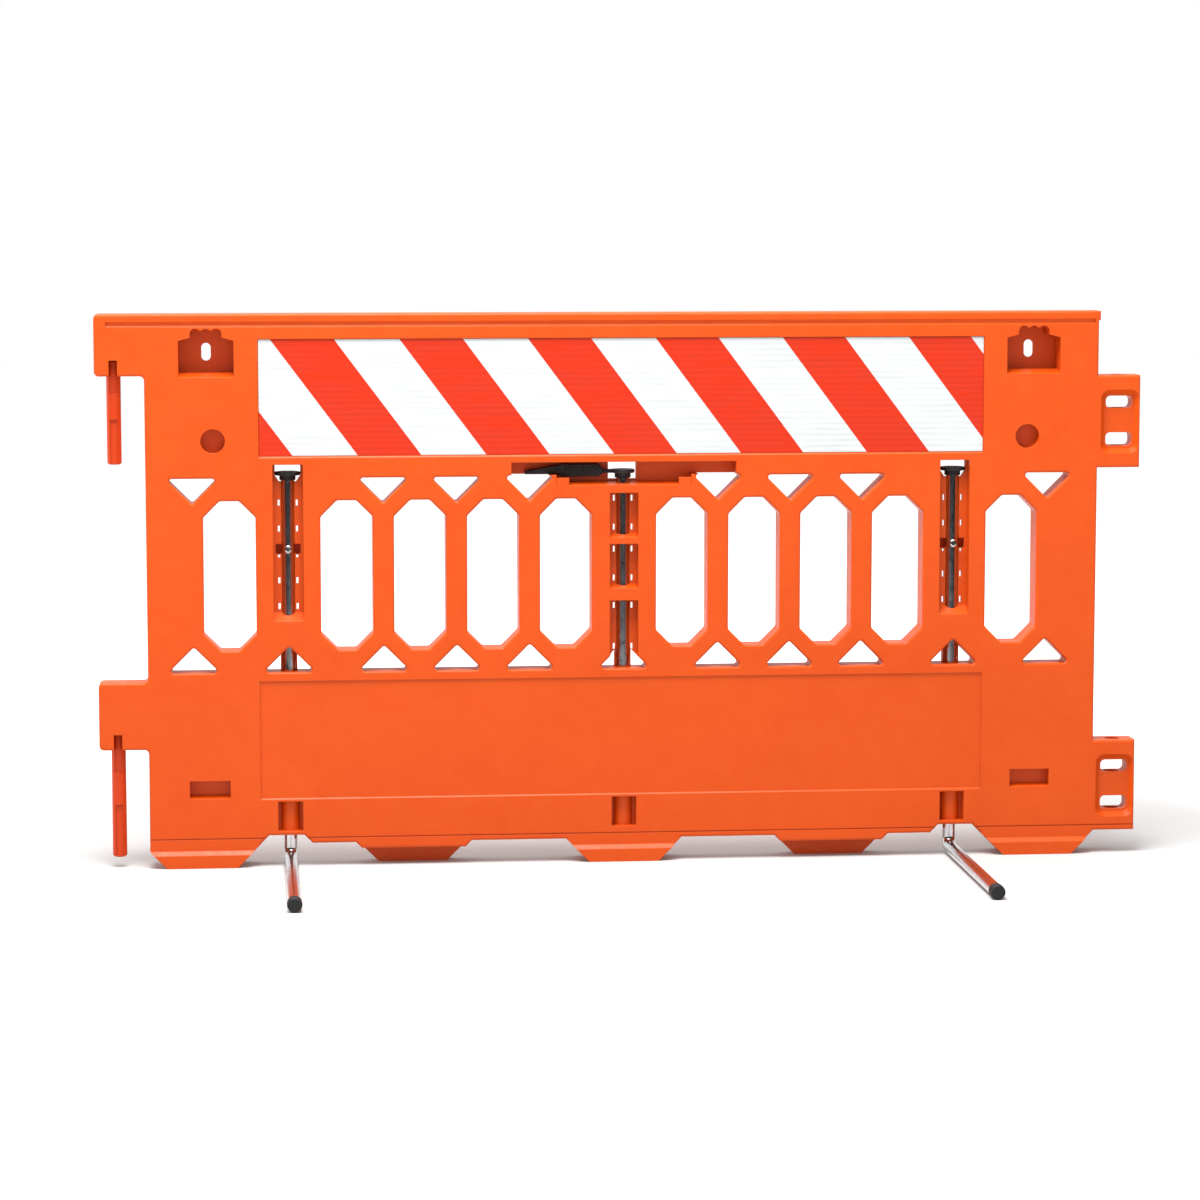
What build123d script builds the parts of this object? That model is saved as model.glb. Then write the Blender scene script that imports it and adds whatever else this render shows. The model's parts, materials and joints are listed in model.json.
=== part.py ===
from build123d import *
import os

# Longitudinal pedestrian barricade: one moulded panel that stands on its own feet, two
# swivelling tube legs, a turning middle rod with a lever, and a peg-and-knuckle link at the ends.
# Frame: +X along the panel towards the knuckle end, +Y to the rear, +Z up, in millimetres.
# The origin is under the middle of the panel, on the ground, in the panel's mid plane.

# ---- overall sizes -------------------------------------------------------------------------
PANEL_HEIGHT = 1067.0  # 42 inch rail height
PANEL_DEPTH = 60.0
LINK_REACH = 1012.0  # from the middle to the tips of the arms, and of the knuckles
LEFT_EDGE = -917.5  # end of the panel face on the peg side
RIGHT_EDGE = 928.5  # end of the panel face on the knuckle side
EDGE_ROUND = 5.0  # along the panel's outline
RIM_ROUND = 4.5  # round each opening
CORNER_ROUND = 9.0  # corners of the arms

# ---- top rail ------------------------------------------------------------------------------
RAIL_BAND = 18.0  # height of the end nose of the rail
RAIL_OVERHANG = 3.0
COVE_RADIUS = 5.5
COVE_DROP = 20.0  # from the top edge to the cove's middle
COVE_OFF_FACE = 1.5
COVE_LEFT_INSET = 23.0
COVE_RIGHT_INSET = 7.0

# ---- recesses in both faces ----------------------------------------------------------------
SHEET_WIDTH = 1404.0
SHEET_HEIGHT = 224.0
SHEET_TOP = 1019.0
SHEET_THICKNESS = 1.0
SHEET_RECESS = 3.5
SHEET_MARGIN = 1.0
BOARD_WIDTH = 1408.0  # plain lower recess
BOARD_HEIGHT = 228.0
BOARD_BOTTOM = 133.5
BOARD_RECESS = 2.5

# ---- openings through the panel ------------------------------------------------------------
OCTAGON_WIDTH = 100.0
OCTAGON_BOTTOM = 421.0
OCTAGON_TOP = 709.5
OCTAGON_CUT = 31.5
OCTAGON_FIRST = 112.6  # first opening from the middle
OCTAGON_PITCH = 140.8
OCTAGON_ROUND = 9.0
TRIANGLE_HALF = 50.0
TRIANGLE_ROUND = 5.0
UPPER_TRIANGLE_TOP = 753.0
LOWER_TRIANGLE_BOTTOM = 378.5

# ---- base ----------------------------------------------------------------------------------
BASE_HEIGHT = 45.0  # underside of the panel between the feet
SKIRT_HEIGHT = 33.0  # underside of the full-depth part of each foot
FOOT_HALF = 67.5  # half width of a foot on the ground; its flanks slope at 45 degrees
FOOT_STEP = 8.0  # how far a foot stands proud of the panel face
REAR_FOOT_X = 409.0
STOWED_GAP = 15.0  # mid plane to the front of a rear foot, room for a stowed leg
NOTCH_TOP = 61.0
NOTCH_INNER = 621.0
BASE_GROOVE_Z = 56.0
BASE_GROOVE = 2.0

# ---- swivel posts --------------------------------------------------------------------------
LEG_X = 647.0
TUBE_RADIUS = 12.7  # 1 inch tube
TUBE_WALL = 2.0
TUBE_CLEARANCE = 0.5
WEB_HALF = 5.0  # half thickness of the web left between front and rear channels
BORE_REACH = 1.0  # how far a bore's cutter runs into the space it opens to
CHANNEL_WIDTH = 58.0
CHANNEL_BOTTOM = 477.0
CHANNEL_TOP = 779.0
CHANNEL_SILL = 15.0
WINDOW_WIDTH = 55.0
WINDOW_SILL = 7.0
MIDDLE_WINDOWS = ((633.0, 720.0), (534.0, 621.0), (400.0, 511.0))
SLIT_WIDTH = 4.0
SLIT_HEIGHT = 12.0
SLIT_OFF = 17.3
SLIT_PITCH = 50.0
SLIT_FIRST = 504.0
SLIT_COUNT = 5
POCKET_WIDTH = 48.0
POCKET_BOTTOM = 69.0
POCKET_HEIGHT = 58.0
SLEEVE_RADIUS = 18.5
SLEEVE_HALF = 16.0

# ---- heads, legs and rod -------------------------------------------------------------------
HEAD_RADIUS = 23.0
HEAD_THICKNESS = 7.0
HEAD_Z = 757.0  # underside of the head disc
HEAD_ROOM = 13.0  # free height above the disc
HEAD_SIDE_ROOM = 1.5  # round the disc
HUB_SIDE_ROOM = 1.0  # round the hub
HUB_DROP = 3.0  # free height under the hub
HUB_RADIUS = 15.5
HUB_HEIGHT = 9.0
PLUG_LENGTH = 18.0
LEG_REACH = 497.0  # from the post to the tip of the foot cap
BEND_RADIUS = 20.0
CAP_RADIUS = 14.0
CAP_LENGTH = 28.0
CAP_END = 3.0
CAP_ROUND = 2.4
BOLT_Z = 615.0
BOLT_RADIUS = 4.0
BOLT_HEAD_RADIUS = 8.0
BOLT_HEAD_HEIGHT = 5.0
BOLT_HEAD_ROUND = 4.5
SADDLE_RADIUS = 8.0
SADDLE_HEIGHT = 3.3  # over the tube's crown
NUT_FLATS = 13.0
NUT_HEIGHT = 5.5
BOLT_SLOT_HEIGHT = 19.0
BOLT_SLOT_HALF = 24.0
BOLT_END = 1.0  # length of the shank behind the nut
STRAP_THICKNESS = 5.5
STRAP_HEIGHT = 28.0
ROD_BOTTOM = 40.0

# ---- lever ---------------------------------------------------------------------------------
GRIP_HALF = 218.0
GRIP_MIDDLE_HALF = 131.0
GRIP_TOP = 780.0
GRIP_BOTTOM = 741.0
GRIP_END_BOTTOM = UPPER_TRIANGLE_TOP + 2.0
GRIP_BACK = 12.0  # rear wall of the recess, behind the mid plane
GRIP_SILL = 6.0
TAB_X = 118.5
TAB_WIDTH = 24.0
TAB_TOP = 749.5
TAB_THICKNESS = 8.0
LEVER_TIP = 190.0
LEVER_GRIP_END = 116.0
LEVER_GRIP_START = 38.0
LEVER_BOTTOM = 750.3
LEVER_HEIGHT = 24.5
LEVER_THICKNESS = 20.0
LEVER_EDGE = 2.0  # chamfer round the lever
LEVER_NOSE = 10.0  # slope at the grip's end beside the post
LEVER_TAPER = 13.0  # slope from the underside of the grip up to the tongue
TONGUE_TIP = 7.0  # height of the tongue at its tip
TONGUE_CLEARANCE = 0.5
NECK_HALF = 6.0
PIN_RADIUS = 2.5
PIN_SUNK = 0.5  # how far each end lies below the hub's surface

# ---- end links -----------------------------------------------------------------------------
LINK_DROP = 718.0  # from the upper link down to the lower one
ARM_BOTTOM = 949.0
LOWER_ARM_HEIGHT = 130.0
PEG_X = -976.0
PEG_RADIUS = 13.8
SPIGOT_RADIUS = 11.5
PEG_INSERT = 27.0
PEG_SEAT_CLEARANCE = 0.1
PEG_SLOT_WIDTH = 16.0
PEG_SLOT_HEIGHT = 31.0
UPPER_PEG_BOTTOM = 780.0
LOWER_PEG_BOTTOM = 21.0
UPPER_PEG_PLAIN = (866.0, 916.0)  # stretch of the peg that stays fully round
LOWER_PEG_PLAIN = (123.0, 186.0)
PEG_CHAMFER = 3.0
PEG_FLUTE_WIDTH = 14.0
PEG_FLUTE_DEPTH = 4.5
KNUCKLE_X = 972.0
KNUCKLE_BOTTOM = 762.0
KNUCKLE_TOP = 942.0
KNUCKLE_BORE = 15.0
KNUCKLE_RECESS_HALF = 38.0
KNUCKLE_RECESS = (790.0, 914.0)
KNUCKLE_RECESS_DEPTH = 12.0
KNUCKLE_TAPER = 36.0  # degrees; the recess narrows inwards like a funnel
KNUCKLE_RECESS_ROUND = 18.0
KNUCKLE_WINDOWS = ((804.0, 830.0), (877.5, 901.5))
KNUCKLE_WINDOW_HALF = 26.0
KNUCKLE_WINDOW_ROUND = 9.0

# ---- fittings in the face ------------------------------------------------------------------
LIGHT_X = 800.0
LIGHT_HALF = 52.5
LIGHT_BOTTOM = 954.0
LIGHT_SHOULDER = 1016.0
LIGHT_NECK_HALF = 30.0
LIGHT_NECK_BOTTOM = 1022.0
LIGHT_TOP = 1039.0
SCALLOP_VALLEY = 3.5
LIGHT_WALL = 4.0  # rear wall left behind the light pocket
LIGHT_SILL = 8.0
LIGHT_SLOT_WIDTH = 18.0
LIGHT_SLOT_HEIGHT = 34.0
LIGHT_SLOT_Z = 993.0
SOCKET_X = 789.0
SOCKET_Z = 824.5
SOCKET_RADIUS = 23.3
SOCKET_DEPTH = 25.0
STRAP_SLOT_WIDTH = 78.0
STRAP_SLOT_BOTTOM = 139.0
STRAP_SLOT_HEIGHT = 30.0
STRAP_SLOT_SILL = 5.0
STRAP_SLOT_X = 801.0

FACE = PANEL_DEPTH / 2
PAST = FACE + 1.0  # cutters run this far, just beyond a face
END_FOOT_X = -LEFT_EDGE - FOOT_HALF - SKIRT_HEIGHT  # its skirt ends flush with the peg side
BORE_RADIUS = TUBE_RADIUS + TUBE_CLEARANCE
POSTS = (-LEG_X, 0.0, LEG_X)
OCTAGONS = [s * (OCTAGON_FIRST + OCTAGON_PITCH * i) for s in (-1, 1) for i in range(4)]
LAST_OCTAGON = (LEG_X - OCTAGON_FIRST - 3 * OCTAGON_PITCH) + LEG_X
OCTAGONS += [-LAST_OCTAGON, LAST_OCTAGON]


# ---- shape helpers -------------------------------------------------------------------------
def block(x, y, z):
    """A box between the two ends given for each axis."""
    size = [b - a for a, b in (x, y, z)]
    middle = [(a + b) / 2 for a, b in (x, y, z)]
    return Pos(*middle) * Box(*size)


def rectangle(x, z):
    """A flat rectangle in the XZ plane, as a sketch."""
    return Pos((x[0] + x[1]) / 2, (z[0] + z[1]) / 2) * Rectangle(x[1] - x[0], z[1] - z[0])


def outline(points, rounding=0.0):
    """A closed flat shape through the points, all its corners rounded."""
    shape = Polygon(*points, align=None)
    return fillet(shape.vertices(), rounding) if rounding else shape


def across(sketch, y):
    """A sketch drawn in X and Z, made solid between two depths."""
    return extrude(Plane.XZ.offset(-y[0]) * sketch, amount=y[0] - y[1])


def along(points, x):
    """A section drawn in Y and Z, made solid between two lengths."""
    return extrude(Plane.YZ.offset(x[0]) * Polygon(*points, align=None), amount=x[1] - x[0])


def upright(x, radius, z):
    """A round bar standing on the mid plane between two heights."""
    return Pos(x, 0, (z[0] + z[1]) / 2) * Cylinder(radius, z[1] - z[0])


def cross_bar(x, z, radius, y):
    """A round bar from front to rear."""
    bar = Rot(90, 0, 0) * Cylinder(radius, y[1] - y[0])
    return Pos(x, (y[0] + y[1]) / 2, z) * bar


def both_faces(front_cut):
    """The front cutter with its mirror image for the rear face."""
    return front_cut + mirror(front_cut, Plane.XZ)


def recess(x, z, floor, sill=0.0):
    """A cutter from the front face back to the floor depth, its bottom sloping down outwards."""
    section = [(-PAST, z[0]), (-FACE, z[0]), (floor, z[0] + sill), (floor, z[1]), (-PAST, z[1])]
    return along(section, x)


# ---- panel ---------------------------------------------------------------------------------
def foot_flank(height):
    """Half width of a foot at a height over the ground."""
    return FOOT_HALF + height


def foot_outline(middle, low, high):
    """The part of a foot's front outline between two heights."""
    a, b = foot_flank(low), foot_flank(high)
    return outline([(middle - a, low), (middle + a, low), (middle + b, high), (middle - b, high)])


def octagon(middle):
    """One tall eight-sided opening."""
    half = OCTAGON_WIDTH / 2
    inner = half - OCTAGON_CUT
    low, high = OCTAGON_BOTTOM, OCTAGON_TOP
    right = [(inner, low), (half, low + OCTAGON_CUT), (half, high - OCTAGON_CUT), (inner, high)]
    left = [(-x, z) for x, z in reversed(right)]
    return outline([(middle + x, z) for x, z in right + left], OCTAGON_ROUND)


def triangle(middle, base, tip_up):
    """One small right-angled opening with its long side level."""
    rise = TRIANGLE_HALF if tip_up else -TRIANGLE_HALF
    points = [(middle - TRIANGLE_HALF, base), (middle + TRIANGLE_HALF, base), (middle, base + rise)]
    return outline(points if tip_up else points[::-1], TRIANGLE_ROUND)


def panel_outline():
    """The panel's front outline without its openings."""
    shape = rectangle((LEFT_EDGE, RIGHT_EDGE), (BASE_HEIGHT, PANEL_HEIGHT))
    shape += rectangle((-LINK_REACH, LEFT_EDGE), (ARM_BOTTOM, PANEL_HEIGHT))
    lower_arm = ARM_BOTTOM - LINK_DROP
    shape += rectangle((-LINK_REACH, LEFT_EDGE), (lower_arm, lower_arm + LOWER_ARM_HEIGHT))
    for drop in (0, LINK_DROP):
        low = max(KNUCKLE_BOTTOM - drop, BASE_HEIGHT)
        shape += rectangle((RIGHT_EDGE, LINK_REACH), (low, KNUCKLE_TOP - drop))
    for middle in (-END_FOOT_X, -REAR_FOOT_X, 0, REAR_FOOT_X, END_FOOT_X):
        shape += foot_outline(middle, SKIRT_HEIGHT, BASE_HEIGHT)
    shape -= rectangle((-END_FOOT_X - foot_flank(BASE_HEIGHT), LEFT_EDGE), (0, BASE_HEIGHT))
    outer_top = END_FOOT_X - foot_flank(NOTCH_TOP)
    for side in (-1, 1):
        notch = [
            (NOTCH_INNER - (NOTCH_TOP - BASE_HEIGHT), BASE_HEIGHT),
            (NOTCH_INNER, NOTCH_TOP),
            (outer_top, NOTCH_TOP),
            (END_FOOT_X - foot_flank(0), 0),
            (NOTCH_INNER - (NOTCH_TOP - BASE_HEIGHT), 0),
        ]
        shape -= outline([(side * x, z) for x, z in notch][::side])
    arms = [v for v in shape.vertices() if v.X < LEFT_EDGE + 1 and v.Y > FOOT_HALF]
    return fillet(arms, CORNER_ROUND)


def panel_openings():
    """Every opening that goes straight through the panel."""
    holes = [octagon(x) for x in OCTAGONS]
    between = [OCTAGON_FIRST + OCTAGON_PITCH * (i + 0.5) for i in range(3)]
    beyond = LAST_OCTAGON + OCTAGON_PITCH / 2
    for x in [s * v for s in (-1, 1) for v in between[1:] + [beyond]]:
        holes.append(triangle(x, UPPER_TRIANGLE_TOP, tip_up=False))
    for x in (-between[0], between[0]):
        holes.append(triangle(x, GRIP_END_BOTTOM, tip_up=False))
    for x in [s * v for s in (-1, 1) for v in between + [LEG_X, beyond]] + [0]:
        holes.append(triangle(x, LOWER_TRIANGLE_BOTTOM, tip_up=True))
    return holes


def foot(middle, front, rear):
    """A foot from the base down, with a sloped shoulder where it stands proud of the skirt."""
    shoulder = SKIRT_HEIGHT - FOOT_STEP
    front_side = [(-FACE, BASE_HEIGHT), (-FACE, SKIRT_HEIGHT), (front, shoulder), (front, 0)]
    if front > -FACE:
        front_side = [(front, BASE_HEIGHT), (front, 0)]
    section = front_side + [(rear, 0), (rear, shoulder), (FACE, SKIRT_HEIGHT), (FACE, BASE_HEIGHT)]
    length = foot_flank(BASE_HEIGHT)
    solid = along(section, (middle - length, middle + length))
    solid = solid & across(foot_outline(middle, 0, BASE_HEIGHT), (front, rear))
    return solid - block((-LINK_REACH, LEFT_EDGE), (front, rear), (0, BASE_HEIGHT))


def end_nose():
    """The short overhang of the top rail at the knuckle end."""
    x = (RIGHT_EDGE - RAIL_BAND, RIGHT_EDGE + RAIL_OVERHANG)
    nose = block(x, (-FACE, FACE), (PANEL_HEIGHT - RAIL_BAND, PANEL_HEIGHT))
    long_edges = nose.edges().filter_by(Axis.X)
    end_edges = nose.edges().filter_by(Axis.Z).group_by(Axis.X)[-1]
    return fillet(long_edges + end_edges, RAIL_OVERHANG)


def round_rims(panel):
    """The panel with the rims of all its openings rounded, front and rear."""
    rims = []
    for face in panel.faces().filter_by(Axis.Y).sort_by(SortBy.AREA)[-2:]:
        for wire in face.inner_wires():
            rims += wire.edges()
    return fillet(rims, RIM_ROUND)


def light_pocket(middle):
    """Cutter for a warning light's pocket with its scalloped neck and bolt slot."""
    scallop = LIGHT_NECK_HALF / 3
    neck_top = LIGHT_TOP - scallop
    valley = LIGHT_TOP - SCALLOP_VALLEY
    half = [(LIGHT_HALF, LIGHT_BOTTOM), (LIGHT_HALF, LIGHT_SHOULDER)]
    half += [(LIGHT_NECK_HALF, LIGHT_NECK_BOTTOM), (LIGHT_NECK_HALF, neck_top)]
    points = half + [(-x, z) for x, z in reversed(half)]
    shape = outline([(middle + x, z) for x, z in points])
    for step in (-1, 0, 1):
        shape += Pos(middle + 2 * step * scallop, neck_top) * Circle(scallop)
    shape += rectangle((middle - 2 * scallop, middle + 2 * scallop), (neck_top, valley))
    cut = across(shape, (-PAST, FACE - LIGHT_WALL))
    sides = (middle - LIGHT_HALF, middle + LIGHT_HALF)
    cut += recess(sides, (LIGHT_BOTTOM - LIGHT_SILL, LIGHT_SHOULDER), 0, LIGHT_SILL)
    slot = Pos(middle, LIGHT_SLOT_Z) * Rot(0, 0, 90) * SlotOverall(LIGHT_SLOT_HEIGHT, LIGHT_SLOT_WIDTH)
    return cut + across(slot, (0, PAST))


def post_cuts(x):
    """What every post has cut: the tube's bore, the head window and the low sleeve pocket."""
    bottom = NOTCH_TOP - BORE_REACH if x else SKIRT_HEIGHT
    cuts = [upright(x, BORE_RADIUS, (bottom, HEAD_Z))]
    low, high = HEAD_Z - HUB_HEIGHT - HUB_DROP, HEAD_Z + HEAD_THICKNESS + HEAD_ROOM
    wide = HEAD_RADIUS + HEAD_SIDE_ROOM
    narrow = HUB_RADIUS + HUB_SIDE_ROOM
    half = [(narrow, low), (wide, HEAD_Z), (wide, high)]
    window = [(x + a, z) for a, z in half] + [(x - a, z) for a, z in reversed(half)]
    cuts.append(across(outline(window), (-wide, wide)))
    side = (x - POCKET_WIDTH / 2, x + POCKET_WIDTH / 2)
    pocket = recess(side, (POCKET_BOTTOM, POCKET_BOTTOM + POCKET_HEIGHT), -WEB_HALF, 0)
    pocket -= upright(x, SLEEVE_RADIUS, (0, PANEL_HEIGHT))
    cuts.append(both_faces(pocket))
    return cuts


def half_sleeve(x):
    """The half sleeve that backs a tube where it crosses the lower triangular opening."""
    z = (LOWER_TRIANGLE_BOTTOM - RIM_ROUND, LOWER_TRIANGLE_BOTTOM + TRIANGLE_HALF)
    return block((x - SLEEVE_HALF, x + SLEEVE_HALF), (0, SLEEVE_HALF), z)


def leg_channel(x):
    """The tall front and rear channels of a leg post, with slits and the cross bolt's slot."""
    side = (x - CHANNEL_WIDTH / 2, x + CHANNEL_WIDTH / 2)
    channel = both_faces(recess(side, (CHANNEL_BOTTOM, CHANNEL_TOP), -WEB_HALF, CHANNEL_SILL))
    strap_z = (BOLT_Z - STRAP_HEIGHT / 2, BOLT_Z + STRAP_HEIGHT / 2)
    channel -= block(side, (FACE - STRAP_THICKNESS, PAST), strap_z)
    half = BOLT_SLOT_HEIGHT / 2
    slot = (x - BOLT_SLOT_HALF, x + BOLT_SLOT_HALF)
    cuts = [channel, block(slot, (-WEB_HALF, WEB_HALF), (BOLT_Z - half, BOLT_Z + half))]
    for i in range(SLIT_COUNT):
        z = SLIT_FIRST + i * SLIT_PITCH
        cuts += slits(x, z)
    return cuts


def slits(x, z):
    """The pair of drain slits beside a tube, through the web."""
    pair = []
    for side in (-1, 1):
        middle = x + side * SLIT_OFF
        width = (middle - SLIT_WIDTH / 2, middle + SLIT_WIDTH / 2)
        pair.append(block(width, (-WEB_HALF, WEB_HALF), (z - SLIT_HEIGHT / 2, z + SLIT_HEIGHT / 2)))
    return pair


def middle_windows():
    """The three windows of the middle post, with slits near their ends."""
    cuts = []
    side = (-WINDOW_WIDTH / 2, WINDOW_WIDTH / 2)
    for low, high in MIDDLE_WINDOWS:
        cuts.append(both_faces(recess(side, (low, high), -WEB_HALF, WINDOW_SILL)))
        cuts += slits(0, high - SLIT_HEIGHT) + slits(0, low + WINDOW_SILL + SLIT_HEIGHT)
    cuts.append(block(side, (0, PAST), (HEAD_Z - HEAD_ROOM, GRIP_TOP)))
    return cuts


def grip_recess():
    """The long front recess that holds the lever, deeper in the middle, with two low tabs."""
    cut = block((-GRIP_HALF, GRIP_HALF), (-PAST, GRIP_BACK), (GRIP_END_BOTTOM, GRIP_TOP))
    low = GRIP_BOTTOM - GRIP_SILL
    middle = recess((-GRIP_MIDDLE_HALF, GRIP_MIDDLE_HALF), (low, GRIP_TOP), GRIP_BACK, GRIP_SILL)
    for side in (-1, 1):
        x = (side * TAB_X - TAB_WIDTH / 2, side * TAB_X + TAB_WIDTH / 2)
        middle -= block(x, (-FACE, -FACE + TAB_THICKNESS), (low, TAB_TOP))
    return cut + middle


def knuckle_cuts(drop):
    """The peg bore, face recess and windows of one knuckle."""
    ends = (KNUCKLE_BOTTOM - drop - BORE_REACH, KNUCKLE_TOP - drop + BORE_REACH)
    cuts = [upright(KNUCKLE_X, KNUCKLE_BORE, ends)]
    bottom, top = (z - drop for z in KNUCKLE_RECESS)
    x = (KNUCKLE_X - KNUCKLE_RECESS_HALF, KNUCKLE_X + KNUCKLE_RECESS_HALF)
    shape = rectangle(x, (bottom, top))
    shape = fillet(shape.vertices(), KNUCKLE_RECESS_ROUND)
    face = Plane.XZ.offset(FACE) * shape
    cuts.append(both_faces(extrude(face, amount=-KNUCKLE_RECESS_DEPTH, taper=KNUCKLE_TAPER)))
    x = (KNUCKLE_X - KNUCKLE_WINDOW_HALF, KNUCKLE_X + KNUCKLE_WINDOW_HALF)
    for bottom, top in KNUCKLE_WINDOWS:
        window = rectangle(x, (bottom - drop, top - drop))
        window = fillet(window.vertices(), KNUCKLE_WINDOW_ROUND)
        cuts.append(across(window, (-PAST, PAST)))
    return cuts


def peg_seat(drop):
    """The bore in an arm that a peg is pressed up into, and the slot that shows its head."""
    low = ARM_BOTTOM - drop - BORE_REACH
    radius = SPIGOT_RADIUS + PEG_SEAT_CLEARANCE
    cuts = [upright(PEG_X, radius, (low, low + PEG_INSERT + BORE_REACH))]
    side = (PEG_X - PEG_SLOT_WIDTH / 2, PEG_X + PEG_SLOT_WIDTH / 2)
    cuts.append(block(side, (-PAST, 0), (low, low + PEG_SLOT_HEIGHT)))
    return cuts


def face_recesses():
    """The long shallow cuts in both faces: cove, sheeting recess, lower recess and base groove."""
    half = SHEET_WIDTH / 2
    z = (SHEET_TOP - SHEET_HEIGHT - SHEET_RECESS, SHEET_TOP)
    sheet = recess((-half, half), z, -FACE + SHEET_RECESS, SHEET_RECESS)
    half = BOARD_WIDTH / 2
    z = (BOARD_BOTTOM - BOARD_RECESS, BOARD_BOTTOM + BOARD_HEIGHT)
    board = recess((-half, half), z, -FACE + BOARD_RECESS, BOARD_RECESS)
    ends = (COVE_LEFT_INSET - LINK_REACH, RIGHT_EDGE - COVE_RIGHT_INSET)
    bar = Rot(0, 90, 0) * Cylinder(COVE_RADIUS, ends[1] - ends[0])
    cove = Pos(sum(ends) / 2, -FACE - COVE_OFF_FACE, PANEL_HEIGHT - COVE_DROP) * bar
    groove_z = (BASE_GROOVE_Z - BASE_GROOVE / 2, BASE_GROOVE_Z + BASE_GROOVE / 2)
    groove = block((LEFT_EDGE, LINK_REACH), (-PAST, -FACE + BASE_GROOVE), groove_z)
    return [both_faces(cut) for cut in (sheet, board, cove, groove)]


def end_fittings(side):
    """The round socket and the strap slot near one end, in both faces."""
    depth = (-PAST, -FACE + SOCKET_DEPTH)
    socket = cross_bar(side * SOCKET_X, SOCKET_Z, SOCKET_RADIUS, depth)
    middle = side * STRAP_SLOT_X
    x = (middle - STRAP_SLOT_WIDTH / 2, middle + STRAP_SLOT_WIDTH / 2)
    z = (STRAP_SLOT_BOTTOM - STRAP_SLOT_SILL, STRAP_SLOT_BOTTOM + STRAP_SLOT_HEIGHT)
    slot = recess(x, z, -WEB_HALF, STRAP_SLOT_SILL)
    return [both_faces(socket), both_faces(slot)]


def make_panel():
    """The moulded panel: plate with rounded rims, feet, then every recess and bore."""
    panel = across(panel_outline(), (-FACE, FACE))
    faces = panel.faces().filter_by(Axis.Y)
    panel = fillet(faces.edges(), EDGE_ROUND)
    panel -= [across(hole, (-PAST, PAST)) for hole in panel_openings()]
    panel = round_rims(panel) + end_nose()
    for x in (-END_FOOT_X, 0, END_FOOT_X):
        panel += foot(x, -FACE - FOOT_STEP, FACE + FOOT_STEP)
    for x in (-REAR_FOOT_X, REAR_FOOT_X):
        panel += foot(x, STOWED_GAP, FACE + FOOT_STEP)

    cuts = face_recesses()
    for side in (-1, 1):
        cuts.append(light_pocket(side * LIGHT_X))
        cuts += end_fittings(side)
        cuts += leg_channel(side * LEG_X)
    for x in POSTS:
        panel += half_sleeve(x)
        cuts += post_cuts(x)
    cuts += middle_windows()
    cuts.append(grip_recess())
    for drop in (0, LINK_DROP):
        cuts += knuckle_cuts(drop)
        cuts += peg_seat(drop)
    return panel - cuts


def make_sheet():
    """One strip of reflective sheeting in the front recess."""
    half = SHEET_WIDTH / 2 - SHEET_MARGIN
    floor = -FACE + SHEET_RECESS
    heights = (SHEET_TOP - SHEET_HEIGHT + SHEET_MARGIN, SHEET_TOP - SHEET_MARGIN)
    return block((-half, half), (floor - SHEET_THICKNESS, floor), heights)


# ---- legs and rod --------------------------------------------------------------------------
def ring(outer, inner, z):
    """A round upright ring or tube in the middle of the frame."""
    return upright(0, outer, z) - upright(0, inner, z)


def make_leg_tube():
    """A bent tube: upright in the post, then forward along the ground."""
    corner = (0, 0, CAP_RADIUS)
    end = (0, CAP_END - LEG_REACH, CAP_RADIUS)
    path = FilletPolyline((0, 0, HEAD_Z), corner, end, radius=BEND_RADIUS)
    section = Pos(0, 0, HEAD_Z) * (Circle(TUBE_RADIUS) - Circle(TUBE_RADIUS - TUBE_WALL))
    tube = sweep(section, path)
    return tube - cross_bar(0, BOLT_Z, BOLT_RADIUS, (-TUBE_RADIUS - 1, TUBE_RADIUS + 1))


def make_foot_cap():
    """The black cap over the end of the foot."""
    end = -LEG_REACH
    cap = cross_bar(0, CAP_RADIUS, CAP_RADIUS, (end, end + CAP_LENGTH))
    rims = cap.edges().group_by(Axis.Y)[0]
    cap = fillet(rims, CAP_ROUND)
    return cap - cross_bar(0, CAP_RADIUS, TUBE_RADIUS, (end + CAP_END, 0))


def make_head():
    """The black head: a disc over the post, a hub round the tube and a plug inside it."""
    head = upright(0, HEAD_RADIUS, (HEAD_Z, HEAD_Z + HEAD_THICKNESS))
    head = fillet(head.edges(), HEAD_THICKNESS / 4)
    inside = HEAD_Z + HEAD_THICKNESS / 2
    head += ring(HUB_RADIUS, TUBE_RADIUS, (HEAD_Z - HUB_HEIGHT, inside))
    return head + upright(0, TUBE_RADIUS - TUBE_WALL, (HEAD_Z - PLUG_LENGTH, inside))


def make_bolt():
    """A dome-headed cross bolt from front to rear."""
    seat = TUBE_RADIUS + SADDLE_HEIGHT
    shank = cross_bar(0, BOLT_Z, BOLT_RADIUS, (-seat, seat + NUT_HEIGHT + BOLT_END))
    head = cross_bar(0, BOLT_Z, BOLT_HEAD_RADIUS, (-seat - BOLT_HEAD_HEIGHT, -seat))
    rim = head.edges().group_by(Axis.Y)[0]
    return shank + fillet(rim, BOLT_HEAD_ROUND)


def make_saddles():
    """The two saddle washers that seat the bolt on the round tube."""
    seat = TUBE_RADIUS + SADDLE_HEIGHT
    bar = cross_bar(0, BOLT_Z, SADDLE_RADIUS, (-seat, seat))
    bar -= upright(0, TUBE_RADIUS, (BOLT_Z - SADDLE_RADIUS, BOLT_Z + SADDLE_RADIUS))
    return bar - cross_bar(0, BOLT_Z, BOLT_RADIUS, (-seat, seat))


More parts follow.
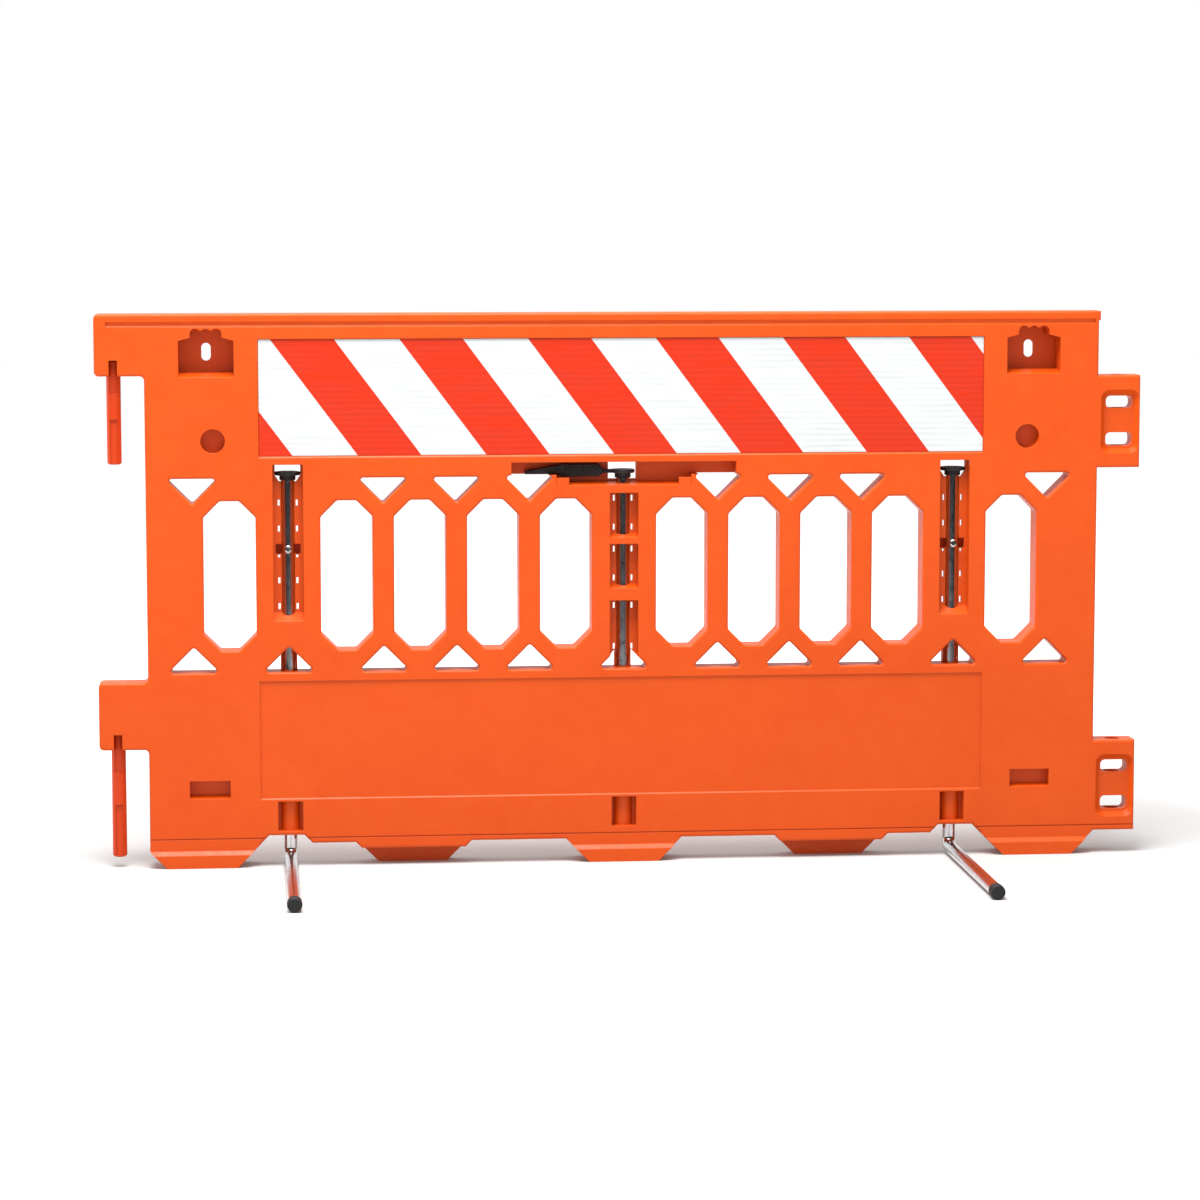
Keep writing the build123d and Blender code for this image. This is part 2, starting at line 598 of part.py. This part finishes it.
def make_nut():
    """The lock nut at the rear."""
    seat = TUBE_RADIUS + SADDLE_HEIGHT
    hexagon = RegularPolygon(NUT_FLATS / 2, 6, major_radius=False)
    nut = across(Pos(0, BOLT_Z) * hexagon, (seat, seat + NUT_HEIGHT))
    return nut - cross_bar(0, BOLT_Z, BOLT_RADIUS, (seat, seat + NUT_HEIGHT))


def make_lever():
    """The middle head with its lever: a deep grip near the post that tapers to a thin tongue."""
    top = LEVER_BOTTOM + LEVER_HEIGHT
    low = GRIP_END_BOTTOM + TONGUE_CLEARANCE
    side = [
        (-LEVER_GRIP_START, HEAD_Z),
        (-LEVER_GRIP_START, HEAD_Z + HEAD_THICKNESS),
        (-LEVER_GRIP_START - LEVER_NOSE, top),
        (-LEVER_GRIP_END, top),
        (-LEVER_TIP, low + TONGUE_TIP),
        (-LEVER_TIP, low),
        (-LEVER_GRIP_END - LEVER_TAPER, low),
        (-LEVER_GRIP_END, LEVER_BOTTOM),
        (-LEVER_GRIP_START - LEVER_NOSE, LEVER_BOTTOM),
    ]
    grip = across(outline(side), (-LEVER_THICKNESS / 2, LEVER_THICKNESS / 2))
    grip = chamfer(grip.faces().filter_by(Axis.Y).edges(), LEVER_EDGE)
    x = (-LEVER_GRIP_START - LEVER_NOSE, -HUB_RADIUS)
    neck = block(x, (-NECK_HALF, NECK_HALF), (HEAD_Z, HEAD_Z + HEAD_THICKNESS))
    lever = make_head() + grip + neck
    return lever - cross_bar(0, HEAD_Z - HUB_HEIGHT / 2, PIN_RADIUS, (-HUB_RADIUS, HUB_RADIUS))


def make_lever_pin():
    """The pin that fixes the lever's hub on the rod."""
    half = HUB_RADIUS - PIN_SUNK
    return cross_bar(0, HEAD_Z - HUB_HEIGHT / 2, PIN_RADIUS, (-half, half))


def make_rod():
    """The middle rod, a straight tube in the panel's bore."""
    rod = ring(TUBE_RADIUS, TUBE_RADIUS - TUBE_WALL, (ROD_BOTTOM, HEAD_Z))
    return rod - cross_bar(0, HEAD_Z - HUB_HEIGHT / 2, PIN_RADIUS, (-TUBE_RADIUS, TUBE_RADIUS))


def make_rod_plug():
    """The plug that closes the rod's lower end."""
    plug = upright(0, TUBE_RADIUS, (ROD_BOTTOM - CAP_END, ROD_BOTTOM))
    return plug + upright(0, TUBE_RADIUS - TUBE_WALL, (ROD_BOTTOM, ROD_BOTTOM + PLUG_LENGTH))


# ---- pegs ----------------------------------------------------------------------------------
def make_peg(drop, bottom, plain):
    """A link peg with a spigot pressed into its arm, fluted in front above and below a round stretch."""
    root = ARM_BOTTOM - drop
    peg = upright(PEG_X, PEG_RADIUS, (bottom, root))
    peg = chamfer(peg.edges().group_by(Axis.Z)[0], PEG_CHAMFER)
    peg += upright(PEG_X, SPIGOT_RADIUS, (root, root + PEG_INSERT))
    side = (PEG_X - PEG_FLUTE_WIDTH / 2, PEG_X + PEG_FLUTE_WIDTH / 2)
    depth = (-PEG_RADIUS, -PEG_RADIUS + PEG_FLUTE_DEPTH)
    peg -= block(side, depth, (bottom + PEG_CHAMFER, plain[0]))
    return peg - block(side, depth, (plain[1], root))


def turned(piece):
    """The same piece on the rear face."""
    return mirror(piece, Plane.XZ)


def main():
    os.makedirs("parts", exist_ok=True)
    nodes = {
        "panel": make_panel(),
        "front_sheeting": make_sheet(),
        "rear_sheeting": turned(make_sheet()),
        "upper_peg": make_peg(0, UPPER_PEG_BOTTOM, UPPER_PEG_PLAIN),
        "lower_peg": make_peg(LINK_DROP, LOWER_PEG_BOTTOM, LOWER_PEG_PLAIN),
        "middle_rod_tube": make_rod(),
        "middle_lever": make_lever(),
        "middle_lever_pin": make_lever_pin(),
        "middle_rod_plug": make_rod_plug(),
    }
    leg = {
        "tube": make_leg_tube(),
        "foot_cap": make_foot_cap(),
        "head": make_head(),
        "cross_bolt": make_bolt(),
        "saddle_washers": make_saddles(),
        "lock_nut": make_nut(),
    }
    for side, x in (("left", -LEG_X), ("right", LEG_X)):
        for name, piece in leg.items():
            nodes[f"{side}_leg_{name}"] = Pos(x, 0, 0) * piece
    for name, piece in nodes.items():
        export_step(piece, f"parts/{name}.step")


main()
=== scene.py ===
import json
import math

import bmesh
import bpy
from mathutils import Matrix, Vector


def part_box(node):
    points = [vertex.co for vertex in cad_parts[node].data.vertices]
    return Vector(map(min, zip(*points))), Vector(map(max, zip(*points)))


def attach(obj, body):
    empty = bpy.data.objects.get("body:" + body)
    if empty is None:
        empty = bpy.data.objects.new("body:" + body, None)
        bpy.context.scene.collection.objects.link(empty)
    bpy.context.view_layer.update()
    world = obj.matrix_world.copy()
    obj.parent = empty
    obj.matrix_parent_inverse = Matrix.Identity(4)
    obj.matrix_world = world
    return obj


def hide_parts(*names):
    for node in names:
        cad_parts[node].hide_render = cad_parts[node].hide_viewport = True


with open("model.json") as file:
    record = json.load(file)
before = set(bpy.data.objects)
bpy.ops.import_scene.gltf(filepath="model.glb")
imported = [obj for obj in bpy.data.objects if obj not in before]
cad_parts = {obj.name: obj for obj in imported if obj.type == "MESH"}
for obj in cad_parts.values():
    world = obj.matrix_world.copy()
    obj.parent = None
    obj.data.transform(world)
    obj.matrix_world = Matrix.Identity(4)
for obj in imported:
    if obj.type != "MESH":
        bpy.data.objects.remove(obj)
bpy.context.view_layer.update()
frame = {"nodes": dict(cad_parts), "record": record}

# A moulded pedestrian barricade: one orange panel with a striped reflective rail, two swivelling
# tube legs, a turning middle rod with a lever, and link pegs. Metres, in the same frame as the CAD.
MM = 0.001


# ---- colour and node helpers ---------------------------------------------------------------
def linear(hex_colour):
    """An sRGB hex colour as linear RGBA."""
    values = [int(hex_colour[i:i + 2], 16) / 255 for i in (1, 3, 5)]
    return [v / 12.92 if v <= 0.04045 else ((v + 0.055) / 1.055) ** 2.4 for v in values] + [1.0]


def add(tree, kind, inputs=None, **settings):
    """A new shader node with its settings; an input is either a value or another node's socket."""
    node = tree.nodes.new("ShaderNode" + kind)
    for name, value in settings.items():
        setattr(node, name, value)
    for name, value in (inputs or {}).items():
        if isinstance(value, bpy.types.NodeSocket):
            tree.links.new(value, node.inputs[name])
        else:
            node.inputs[name].default_value = value
    return node


def start_material(name, **surface):
    """A material with its surface shader and its Object coordinates, ready for a pattern."""
    material = bpy.data.materials.new(name)
    material.use_nodes = True
    tree = material.node_tree
    tree.nodes.clear()
    shader = add(tree, "BsdfPrincipled")
    for socket, value in surface.items():
        shader.inputs[socket.replace("_", " ")].default_value = value
    add(tree, "OutputMaterial", {"Surface": shader.outputs["BSDF"]})
    place = add(tree, "TexCoord").outputs["Object"]
    return material, tree, shader, place


def noise(tree, place, size_mm, detail=3.0, rough=0.55):
    """Soft random patches of about the given size."""
    inputs = {"Vector": place, "Scale": 1 / (size_mm * MM), "Detail": detail, "Roughness": rough}
    return add(tree, "TexNoise", inputs).outputs["Fac"]


def spread(tree, value, low, high, start=0.3, end=0.7):
    """A value between start and end stretched to run from low to high."""
    inputs = {"Value": value, "From Min": start, "From Max": end, "To Min": low, "To Max": high}
    return add(tree, "MapRange", inputs).outputs["Result"]


def blend_colour(tree, factor, first, second):
    """A colour between two others; each is hex or another node's socket."""
    node = add(tree, "Mix", {"Factor": factor}, data_type="RGBA")
    for socket, colour in ((node.inputs[6], first), (node.inputs[7], second)):
        if isinstance(colour, str):
            socket.default_value = linear(colour)
        else:
            tree.links.new(colour, socket)
    return node.outputs[2]


def height(tree, value, depth_mm, strength=1.0, normal=None):
    """A bump of the given depth, over another one if there is one."""
    inputs = {"Height": value, "Distance": depth_mm * MM, "Strength": strength}
    if normal:
        inputs["Normal"] = normal
    return add(tree, "Bump", inputs).outputs["Normal"]


def connect(tree, shader, **sockets):
    """Joins worked-out values to the surface shader."""
    for name, value in sockets.items():
        tree.links.new(value, shader.inputs[name.replace("_", " ")])


# ---- materials -----------------------------------------------------------------------------
def moulded_polyethylene(name, colour, pale, deep):
    """Blow-moulded HDPE: even satin colour, faint flow mottling, a pebbled skin and rubbed scuffs."""
    material, tree, shader, place = start_material(
        name, Roughness=0.42, IOR=1.54, Specular_IOR_Level=0.2)
    flow = spread(tree, noise(tree, place, 260), 0.0, 1.0)
    tone = blend_colour(tree, flow, deep, colour)
    cloud = spread(tree, noise(tree, place, 36, 4.0), 0.0, 0.12)
    tone = blend_colour(tree, cloud, tone, pale)
    streak_place = add(tree, "Mapping", {"Vector": place, "Scale": (0.16, 1.0, 1.0)}).outputs["Vector"]
    scuff = spread(tree, noise(tree, streak_place, 7, 5.0, 0.62), 0.0, 1.0, 0.66, 0.74)
    patch = spread(tree, noise(tree, place, 120), 0.0, 0.3, 0.5, 0.68)
    scuff = add(tree, "Math", {0: scuff, 1: patch}, operation="MULTIPLY").outputs[0]
    connect(tree, shader, Base_Color=blend_colour(tree, scuff, tone, pale))
    sheen = spread(tree, noise(tree, place, 24), 0.36, 0.47)
    rubbed = add(tree, "Math", {0: scuff, 1: 0.3, 2: sheen}, operation="MULTIPLY_ADD").outputs[0]
    connect(tree, shader, Roughness=rubbed)
    # the real pebbling is about 0.8 mm across, drawn at 4 mm so that it can be seen
    edge = add(tree, "Bevel", {"Radius": EDGE_SOFTNESS}, samples=6).outputs["Normal"]
    pebble = height(tree, noise(tree, place, 4.0, 2.0), 0.08, 0.4, edge)
    waviness = height(tree, noise(tree, place, 85, 1.0), 0.5, 0.25, pebble)
    connect(tree, shader, Normal=waviness)
    return material


def striped_sheeting():
    """Prismatic retroreflective film: slanted orange and white stripes over fine level ribs."""
    material, tree, shader, place = start_material(
        "prismatic_retroreflective_film", Roughness=0.3, IOR=1.5, Coat_Weight=0.15, Coat_Roughness=0.12)
    axes = add(tree, "SeparateXYZ", {"Vector": place})
    across, up = axes.outputs["X"], axes.outputs["Z"]
    slant = add(tree, "Math", {0: up, 1: STRIPE_LEAN, 2: across}, operation="MULTIPLY_ADD").outputs[0]
    turns = add(tree, "Math", {0: slant, 1: 1 / STRIPE_PERIOD, 2: -STRIPE_START / STRIPE_PERIOD},
                operation="MULTIPLY_ADD").outputs[0]
    share = add(tree, "Math", {0: turns}, operation="FRACT").outputs[0]
    orange = add(tree, "Math", {0: share, 1: ORANGE_SHARE}, operation="LESS_THAN").outputs[0]
    band = add(tree, "TexWave", {"Vector": place, "Scale": RIB_SCALE, "Distortion": 0.6, "Detail": 1.0},
               wave_type="BANDS", bands_direction="Z").outputs["Fac"]
    patch_place = add(tree, "Mapping", {"Vector": place, "Scale": (0.25, 1.0, 1.0)}).outputs["Vector"]
    patch = spread(tree, noise(tree, patch_place, 30), 0.0, 1.0)
    rib = add(tree, "Math", {0: band, 1: patch}, operation="MULTIPLY").outputs[0]
    white = blend_colour(tree, rib, "#C4C8C8", "#B4B9B8")
    red = blend_colour(tree, rib, "#C42A05", "#B62304")
    connect(tree, shader, Base_Color=blend_colour(tree, orange, white, red))
    connect(tree, shader, Roughness=spread(tree, patch, 0.24, 0.36, 0.0, 1.0))
    # the prisms are cells of about 0.2 mm in 3 mm diamonds, of which the diamonds are drawn
    cells = add(tree, "TexVoronoi", {"Vector": place, "Scale": 1 / (3 * MM)}, feature="DISTANCE_TO_EDGE")
    seam = spread(tree, cells.outputs["Distance"], 0.0, 1.0, 0.0, 0.12)
    fine = height(tree, seam, 0.05, 0.4)
    connect(tree, shader, Normal=height(tree, band, 0.2, 0.35, fine))
    return material


def zinc_plate(name, roughness, drawn):
    """Bright zinc plate on steel: cool grey metal, clouded passivation and fine drawing lines."""
    material, tree, shader, place = start_material(name, Metallic=1.0)
    cloud = spread(tree, noise(tree, place, 14, 4.0), 0.0, 1.0)
    tone = blend_colour(tree, cloud, "#D3D5D8", "#BFC1C4")
    spangle = add(tree, "TexVoronoi", {"Vector": place, "Scale": 1 / (5 * MM)}).outputs["Color"]
    fleck = spread(tree, add(tree, "SeparateXYZ", {"Vector": spangle}).outputs["X"], 0.0, 0.18, 0.0, 1.0)
    connect(tree, shader, Base_Color=blend_colour(tree, fleck, tone, "#E6E7E9"))
    connect(tree, shader, Roughness=spread(tree, cloud, roughness, roughness + 0.1, 0.0, 1.0))
    lines_place = add(tree, "Mapping", {"Vector": place, "Scale": drawn}).outputs["Vector"]
    lines = noise(tree, lines_place, 1.2, 3.0)
    connect(tree, shader, Normal=height(tree, lines, 0.03, 0.3))
    return material


def black_nylon():
    """Glass-filled black nylon: matte moulded skin with a fine spark texture and faint fibre haze."""
    material, tree, shader, place = start_material("black_moulded_nylon", Roughness=0.55, IOR=1.53)
    haze = spread(tree, noise(tree, place, 18, 4.0), 0.0, 1.0)
    connect(tree, shader, Base_Color=blend_colour(tree, haze, "#141416", "#232326"))
    connect(tree, shader, Roughness=spread(tree, haze, 0.46, 0.62, 0.0, 1.0))
    grit = noise(tree, place, 1.1, 2.0)
    connect(tree, shader, Normal=height(tree, grit, 0.06, 0.6))
    return material


def black_vinyl():
    """Dipped black vinyl: dull rubbery skin with dusty, rubbed patches."""
    material, tree, shader, place = start_material("black_dipped_vinyl", Roughness=0.7, IOR=1.52)
    dust = spread(tree, noise(tree, place, 6, 4.0), 0.0, 0.5, 0.45, 0.75)
    connect(tree, shader, Base_Color=blend_colour(tree, dust, "#0F0F10", "#2B2A29"))
    connect(tree, shader, Roughness=spread(tree, dust, 0.62, 0.85, 0.0, 0.5))
    connect(tree, shader, Normal=height(tree, noise(tree, place, 1.6, 2.0), 0.08, 0.5))
    return material


EDGE_SOFTNESS = 1.8 * MM  # every moulded corner has at least this radius
STRIPE_LEAN = 0.746  # how far a stripe's edge runs along the rail for each unit of height
STRIPE_PERIOD = 246.5 * MM  # along the rail
STRIPE_START = 81.0 * MM  # where an orange stripe starts along X, at Z = 0 of the sheeting's own axes
ORANGE_SHARE = 0.495  # of each period
RIB_PITCH = 11 * MM  # of the film's fine level ribs
RIB_SCALE = 2 * math.pi / (20 * RIB_PITCH)  # a band texture repeats each 2 pi / 20 units at scale 1

TUBE_RADIUS = 12.7 * MM
CAP_NOSE = 3 * MM
HEAD_THICKNESS = 7 * MM
HUB_RADIUS = 15.5 * MM
HUB_HEIGHT = 9 * MM
LEVER_THICKNESS = 20 * MM
LEVER_HEIGHT = 24.5 * MM
LEVER_RIBS = 8  # on each face
LEVER_RIB_START = 54 * MM
LEVER_RIB_STEP = 8 * MM

# the stage, in metres
FLOOR_FADE_START = 1.3  # from the middle, where the painted grey shade on the floor begins to turn white
FLOOR_FADE_END = 2.6
CURTAIN_RADIUS = 2.0
CURTAIN_HEIGHT = 2.0

PANEL_PLASTIC = moulded_polyethylene("blow_moulded_hdpe", "#C74706", "#D66020", "#C24304")
# The pegs take a darker, redder copy of the panel orange: painted shade, as they sit deeper than the
# panel's face.
SHADED_PEG_PLASTIC = moulded_polyethylene("injection_moulded_hdpe_with_painted_shade", "#BC3606", "#C9501C", "#B83305")
FILM = striped_sheeting()
TUBE_ZINC = zinc_plate("bright_zinc_tube", 0.16, (1.0, 0.05, 0.05))
HARDWARE_ZINC = zinc_plate("bright_zinc_hardware", 0.2, (1.0, 1.0, 1.0))
NYLON = black_nylon()
VINYL = black_vinyl()

FINISH = {
    "panel_orange": PANEL_PLASTIC,
    "peg_orange": SHADED_PEG_PLASTIC,
    "reflective_sheeting": FILM,
    "zinc_tube": TUBE_ZINC,
    "zinc_hardware": HARDWARE_ZINC,
    "black_plastic": NYLON,
    "black_rubber": VINYL,
}


def paint(piece, material):
    """Gives every face of a piece the one material."""
    piece.data.materials.clear()
    piece.data.materials.append(material)


def paint_frame():
    """Each CAD node takes the procedural material of its slot."""
    for part in frame["record"]["subparts"]:
        paint(frame["nodes"][part["node"]], FINISH[part["material_slot"]])


# ---- modelling helpers ---------------------------------------------------------------------
def deselect():
    bpy.ops.object.select_all(action="DESELECT")


def start_piece(name, add_primitive, **shape):
    """A new primitive with its place in its mesh, left in edit mode with nothing selected."""
    deselect()
    add_primitive(**shape)
    piece = bpy.context.object
    piece.name = name
    bpy.ops.object.transform_apply(location=True, rotation=True, scale=True)
    bpy.ops.object.mode_set(mode="EDIT")
    bpy.ops.mesh.select_all(action="DESELECT")
    return piece


def round_bar(name, centre, radius, length, axis, vertices=48):
    """A round bar along Y or Z, left in edit mode."""
    turn = (math.pi / 2, 0, 0) if axis == "Y" else (0, 0, 0)
    return start_piece(name, bpy.ops.mesh.primitive_cylinder_add, vertices=vertices, radius=radius,
                       depth=length, location=centre, rotation=turn)


def select(piece, kind, test):
    """Selects just the faces or edges whose centre (and, for a face, normal) pass the test."""
    bpy.ops.mesh.select_all(action="DESELECT")
    bpy.ops.mesh.select_mode(type="FACE" if kind == "faces" else "EDGE")
    mesh = bmesh.from_edit_mesh(piece.data)
    for item in getattr(mesh, kind):
        if kind == "faces":
            item.select_set(test(item.calc_center_median(), item.normal))
        else:
            item.select_set(test((item.verts[0].co + item.verts[1].co) / 2))
    bmesh.update_edit_mesh(piece.data)


def cut_round(piece, places, axis):
    """Cuts loops round a bar at places along its axis."""
    normal = (0, 1, 0) if axis == "Y" else (0, 0, 1)
    for place in places:
        bpy.ops.mesh.select_all(action="SELECT")
        bpy.ops.mesh.bisect(plane_co=[n * place for n in normal], plane_no=normal)


def finish_piece(piece, body, slot, *replaced):
    """Leaves edit mode, shades, paints and rides the piece."""
    bpy.ops.mesh.select_all(action="SELECT")
    bpy.ops.mesh.normals_make_consistent(inside=False)
    bpy.ops.object.mode_set(mode="OBJECT")
    bpy.ops.object.shade_smooth_by_angle(angle=math.radians(32))
    paint(piece, FINISH[slot])
    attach(piece, body)
    if replaced:
        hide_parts(*replaced)
    return piece


# ---- detailed pieces -----------------------------------------------------------------------
def make_foot_cap(side):
    """The dipped cap on a leg's end: a cup with a rounded nose and three grip rings."""
    low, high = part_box(f"{side}_leg_foot_cap")
    radius = (high.x - low.x) / 2
    centre = (low + high) / 2
    wall = radius - TUBE_RADIUS
    ring_height = 0.5 * MM
    cap = round_bar(f"{side}_foot_cap", centre, radius - ring_height, high.y - low.y, "Y")
    rings = [low.y + (9 + 6 * i) * MM for i in range(3)]
    cut_round(cap, [y + half for y in rings for half in (-1.3 * MM, 1.3 * MM)], "Y")
    for y in rings:
        select(cap, "faces", lambda c, n: abs(c.y - y) < 1 * MM and abs(n.y) < 0.1)
        bpy.ops.mesh.inset(thickness=0.4 * MM, depth=ring_height, use_boundary=True)
    select(cap, "faces", lambda c, n: n.y > 0.9 and c.y > high.y - 0.1 * MM)
    bpy.ops.mesh.inset(thickness=wall - ring_height, depth=0)
    bpy.ops.mesh.extrude_region_move(TRANSFORM_OT_translate={"value": (0, low.y - high.y + CAP_NOSE, 0)})
    select(cap, "edges", lambda c: c.y < low.y + 0.1 * MM and (c - centre).xz.length > radius / 2)
    bpy.ops.mesh.bevel(offset=2.6 * MM, segments=5, affect="EDGES")
    select(cap, "edges", lambda c: c.y > high.y - 0.1 * MM)
    bpy.ops.mesh.bevel(offset=0.25 * MM, segments=2, affect="EDGES")
    return finish_piece(cap, f"{side}_leg", "black_rubber", f"{side}_leg_foot_cap")


def make_head(side):
    """The black head on a leg tube: a fluted disc with a dished top, over a hub with a flange."""
    low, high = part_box(f"{side}_leg_head")
    radius = (high.x - low.x) / 2
    centre = Vector(((low.x + high.x) / 2, (low.y + high.y) / 2, high.z - HEAD_THICKNESS / 2))
    head = round_bar(f"{side}_leg_cap", centre, radius, HEAD_THICKNESS, "Z", 72)
    select(head, "faces", lambda c, n: n.z > 0.9)
    bpy.ops.mesh.inset(thickness=4 * MM, depth=0)
    bpy.ops.mesh.inset(thickness=1.2 * MM, depth=-1.2 * MM)
    bpy.ops.mesh.inset(thickness=9 * MM, depth=0)
    bpy.ops.mesh.inset(thickness=0.8 * MM, depth=0.9 * MM)
    select(head, "faces", lambda c, n: n.z < -0.9)
    bpy.ops.mesh.inset(thickness=radius - HUB_RADIUS, depth=0)
    bpy.ops.mesh.extrude_region_move(TRANSFORM_OT_translate={"value": (0, 0, -HUB_HEIGHT)})
    bpy.ops.mesh.inset(thickness=HUB_RADIUS - TUBE_RADIUS, depth=0)
    bpy.ops.mesh.extrude_region_move(TRANSFORM_OT_translate={"value": (0, 0, HUB_HEIGHT)})
    flute = math.tau / 24

    def in_flute(c, n):
        share = (math.atan2(c.y - centre.y, c.x - centre.x) / flute) % 1
        return abs(n.z) < 0.1 and (c - centre).xy.length > radius - 1 * MM and share < 0.34

    select(head, "faces", in_flute)
    bpy.ops.mesh.inset(thickness=0.35 * MM, depth=-0.8 * MM, use_individual=True)
    rims = (high.z, high.z - HEAD_THICKNESS)
    select(head, "edges", lambda c: (c - centre).xy.length > radius - 0.2 * MM and
           min(abs(c.z - z) for z in rims) < 0.05 * MM)
    bpy.ops.mesh.bevel(offset=1.0 * MM, segments=3, affect="EDGES")
    return finish_piece(head, f"{side}_leg", "black_plastic", f"{side}_leg_head")


def make_lock_nut(side):
    """A hexagon lock nut with chamfered corners and a round collar over the bolt's end."""
    low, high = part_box(f"{side}_leg_lock_nut")
    centre = (low + high) / 2
    collar = 1.5 * MM
    across_flats = high.z - low.z
    nut = start_piece(f"{side}_lock_nut", bpy.ops.mesh.primitive_cylinder_add, vertices=6,
                      radius=(high.x - low.x) / 2, depth=high.y - low.y - collar,
                      location=(centre.x, centre.y - collar / 2, centre.z),
                      rotation=(math.pi / 2, math.pi / 6, 0))
    select(nut, "faces", lambda c, n: n.y > 0.9)
    bpy.ops.mesh.inset(thickness=1.1 * MM, depth=0.5 * MM)
    bpy.ops.mesh.select_all(action="DESELECT")
    bpy.ops.mesh.primitive_cylinder_add(vertices=40, radius=across_flats / 2 - 0.9 * MM,
                                        depth=collar, rotation=(math.pi / 2, 0, 0),
                                        location=(centre.x, high.y - collar / 2, centre.z))
    select(nut, "faces", lambda c, n: n.y > 0.9 and c.y > high.y - 0.1 * MM)
    bpy.ops.mesh.inset(thickness=0.9 * MM, depth=0)
    bpy.ops.mesh.inset(thickness=0.5 * MM, depth=-0.6 * MM)
    return finish_piece(nut, f"{side}_leg", "zinc_hardware", f"{side}_leg_lock_nut")


def make_lever_ribs():
    """Raised finger ribs on both faces of the lever's grip: one is shaped, the rest are copies."""
    low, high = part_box("middle_lever")
    face = LEVER_THICKNESS / 2
    middle = high.z - LEVER_HEIGHT / 2
    first = start_piece("lever_rib_01", bpy.ops.mesh.primitive_cube_add, size=1,
                        location=(-LEVER_RIB_START, -face, middle),
                        scale=(3.2 * MM, 1.6 * MM, LEVER_HEIGHT - 8 * MM))
    select(first, "edges", lambda c: c.y < -face)
    bpy.ops.mesh.bevel(offset=0.7 * MM, segments=3, affect="EDGES")
    finish_piece(first, "middle_rod", "black_plastic")
    for i in range(1, 2 * LEVER_RIBS):
        step, rear = i % LEVER_RIBS, i >= LEVER_RIBS
        rib = first.copy()
        rib.data = first.data.copy()
        rib.name = f"lever_rib_{i + 1:02d}"
        bpy.context.scene.collection.objects.link(rib)
        turn = Matrix.Rotation(math.pi, 4, "Z") if rear else Matrix.Identity(4)
        home = Vector((LEVER_RIB_START, 0, 0))
        place = Matrix.Translation(-home - Vector((LEVER_RIB_STEP * step, 0, 0)))
        rib.data.transform(place @ turn @ Matrix.Translation(home))


# ---- stage ---------------------------------------------------------------------------------
def add_stage():
    """A plain floor with painted shade: grey under the barricade, fading to white further off."""
    deselect()
    bpy.ops.mesh.primitive_plane_add(size=40, location=(0, 0, 0))
    floor = bpy.context.object
    floor.name = "floor"
    material, tree, shader, place = start_material("matte_studio_floor", Roughness=0.9)
    tone = spread(tree, noise(tree, place, 900), 0.0, 1.0)
    # painted shade: grey within about 1.3 m of the barricade, turning white by 2.6 m
    grey = blend_colour(tree, tone, "#BCBCBB", "#B6B6B5")
    distance = add(tree, "VectorMath", {0: place}, operation="LENGTH").outputs["Value"]
    far = spread(tree, distance, 0.0, 1.0, FLOOR_FADE_START, FLOOR_FADE_END)
    connect(tree, shader, Base_Color=blend_colour(tree, far, grey, "#FEFEFE"))
    paint(floor, material)


def add_light(name, place, target, size, power):
    """A soft square light aimed at a point."""
    lamp = bpy.data.lights.new(name, "AREA")
    lamp.size = size
    lamp.energy = power
    light = bpy.data.objects.new(name, lamp)
    light.location = place
    light.rotation_euler = (Vector(target) - Vector(place)).to_track_quat("-Z", "Y").to_euler()
    bpy.context.scene.collection.objects.link(light)


def add_lights():
    """A broad overhead key, a low side fill, and a white room all round."""
    add_light("key", (-0.6, -1.2, 4.6), (0, 0, 0.3), 2.6, 420)
    add_light("side", (-4.4, 1.6, 1.8), (0, 0, 0.5), 2.0, 60)
    world = bpy.data.worlds.new("studio")
    world.use_nodes = True
    world.node_tree.nodes["Background"].inputs["Color"].default_value = linear("#FFFFFF")
    world.node_tree.nodes["Background"].inputs["Strength"].default_value = 1.0
    bpy.context.scene.world = world


def add_dark_surround():
    """A low black curtain round the front that only reflections see, so that gloss stays deep."""
    curtain = round_bar("curtain", (0, 0, CURTAIN_HEIGHT / 2), CURTAIN_RADIUS, CURTAIN_HEIGHT, "Z")
    select(curtain, "faces", lambda c, n: c.y > 0.1 * CURTAIN_RADIUS or abs(n.z) > 0.5)
    bpy.ops.mesh.delete(type="FACE")
    bpy.ops.object.mode_set(mode="OBJECT")
    material, tree, shader, place = start_material("black_velvet_curtain", Roughness=1.0)
    fold = spread(tree, noise(tree, place, 700), 0.0, 1.0)
    connect(tree, shader, Base_Color=blend_colour(tree, fold, "#060606", "#0B0B0B"))
    paint(curtain, material)
    curtain.visible_camera = False
    curtain.visible_diffuse = False
    curtain.visible_shadow = False


def add_camera():
    """A long lens a little to the left and above, looking slightly down."""
    camera = bpy.data.objects.new("camera", bpy.data.cameras.new("camera"))
    camera.data.sensor_width = 36
    camera.data.lens = 112.945
    camera.location = (-0.73684, -7.23478, 1.32964)
    camera.rotation_euler = (math.radians(90 - 6.442), 0, math.radians(-5.470))
    bpy.context.scene.collection.objects.link(camera)
    bpy.context.scene.camera = camera
    bpy.context.scene.view_settings.view_transform = "Standard"


paint_frame()
for side in ("left", "right"):
    make_foot_cap(side)
    make_head(side)
    make_lock_nut(side)
make_lever_ribs()
add_stage()
add_dark_surround()
add_lights()
add_camera()
